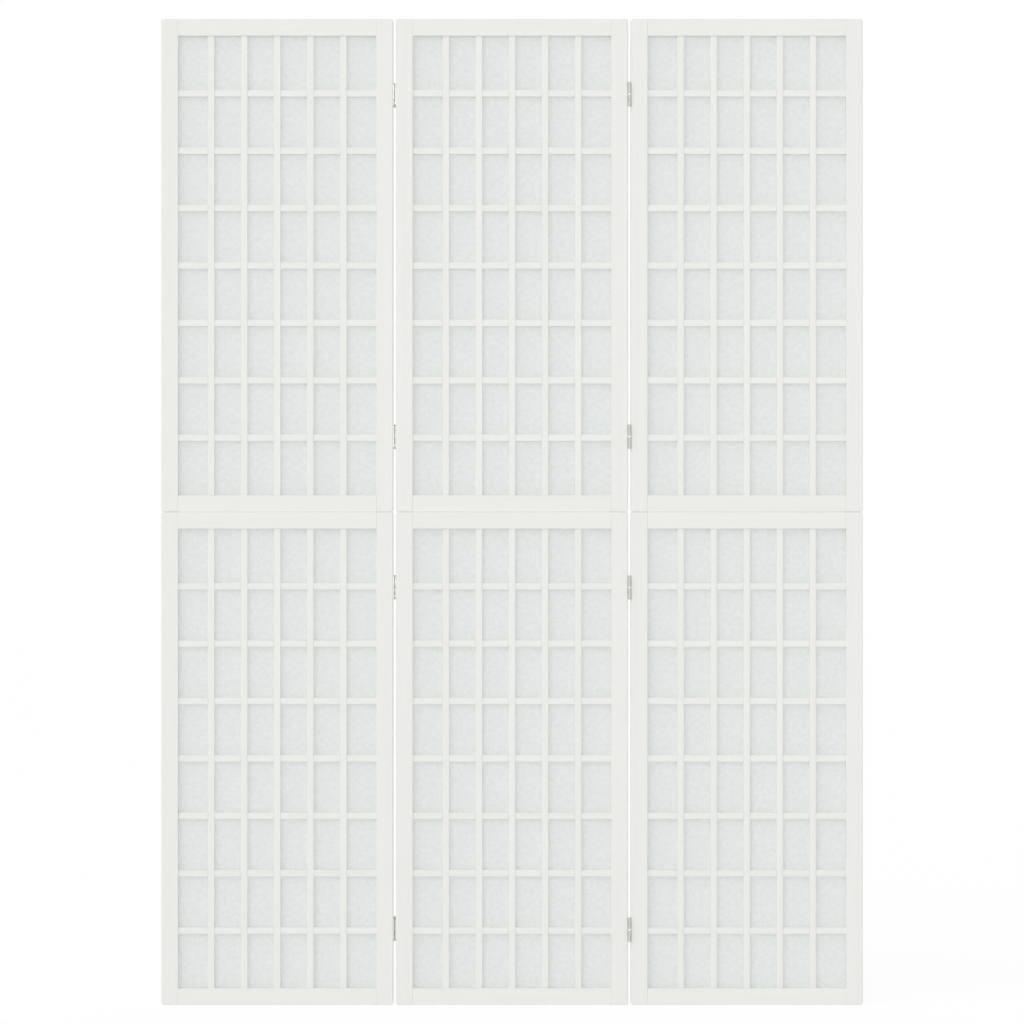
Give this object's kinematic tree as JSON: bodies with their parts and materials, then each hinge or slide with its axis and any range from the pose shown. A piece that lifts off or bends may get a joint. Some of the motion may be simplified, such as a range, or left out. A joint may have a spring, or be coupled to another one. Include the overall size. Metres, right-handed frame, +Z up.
{
  "type": "folding screen",
  "caption": "Freestanding white folding screen of hinged leaves, each a stacked pair of wooden lattice frames backed with fibrous paper, folding in a zigzag.",
  "frame": {"origin": "on the floor at the middle of the flat, open screen", "axes": "+Z up, +X to the viewer's right along the leaves, +Y to the back, away from the lattice side"},
  "size_m": [1.2096, 0.031, 1.7],
  "materials": {
    "frame": "white satin paint",
    "lattice": "white satin paint",
    "paper": "matt fibrous paper",
    "hinge": "zinc plated",
    "screw": "zinc plated",
    "washer": "moulded",
    "connector": "zinc plated",
    "dowel": "bare beech"
  },
  "bodies": {
    "centre_leaf": {"centre_connector_bolts": "connector", "centre_connector_sleeves": "connector", "centre_hinge_plates": "hinge", "centre_hinge_screws": "screw", "centre_lower_bottom_rail": "frame", "centre_lower_cross_bars": "lattice", "centre_lower_left_stile": "frame", "centre_lower_paper": "paper", "centre_lower_right_stile": "frame", "centre_lower_top_rail": "frame", "centre_lower_upright_bars": "lattice", "centre_seam_dowels": "dowel", "centre_upper_bottom_rail": "frame", "centre_upper_cross_bars": "lattice", "centre_upper_left_stile": "frame", "centre_upper_paper": "paper", "centre_upper_right_stile": "frame", "centre_upper_top_rail": "frame", "centre_upper_upright_bars": "lattice", "hinge_pins": "hinge", "hinge_washers": "washer"},
    "left_leaf": {"left_connector_bolts": "connector", "left_connector_sleeves": "connector", "left_hinge_plates": "hinge", "left_hinge_screws": "screw", "left_lower_bottom_rail": "frame", "left_lower_cross_bars": "lattice", "left_lower_left_stile": "frame", "left_lower_paper": "paper", "left_lower_right_stile": "frame", "left_lower_top_rail": "frame", "left_lower_upright_bars": "lattice", "left_seam_dowels": "dowel", "left_upper_bottom_rail": "frame", "left_upper_cross_bars": "lattice", "left_upper_left_stile": "frame", "left_upper_paper": "paper", "left_upper_right_stile": "frame", "left_upper_top_rail": "frame", "left_upper_upright_bars": "lattice"},
    "right_leaf": {"right_connector_bolts": "connector", "right_connector_sleeves": "connector", "right_hinge_plates": "hinge", "right_hinge_screws": "screw", "right_lower_bottom_rail": "frame", "right_lower_cross_bars": "lattice", "right_lower_left_stile": "frame", "right_lower_paper": "paper", "right_lower_right_stile": "frame", "right_lower_top_rail": "frame", "right_lower_upright_bars": "lattice", "right_seam_dowels": "dowel", "right_upper_bottom_rail": "frame", "right_upper_cross_bars": "lattice", "right_upper_left_stile": "frame", "right_upper_paper": "paper", "right_upper_right_stile": "frame", "right_upper_top_rail": "frame", "right_upper_upright_bars": "lattice"}
  },
  "joints": [
    {"name": "left_fold", "type": "hinge", "parent": "centre_leaf", "child": "left_leaf", "pos_m": [-0.2024, 0.0129, 0], "axis": [0, 0, -1], "range_deg": [-8, 180]},
    {"name": "right_fold", "type": "hinge", "parent": "centre_leaf", "child": "right_leaf", "pos_m": [0.2024, -0.0129, 0], "axis": [0, 0, -1], "range_deg": [-8, 180]}
  ]
}
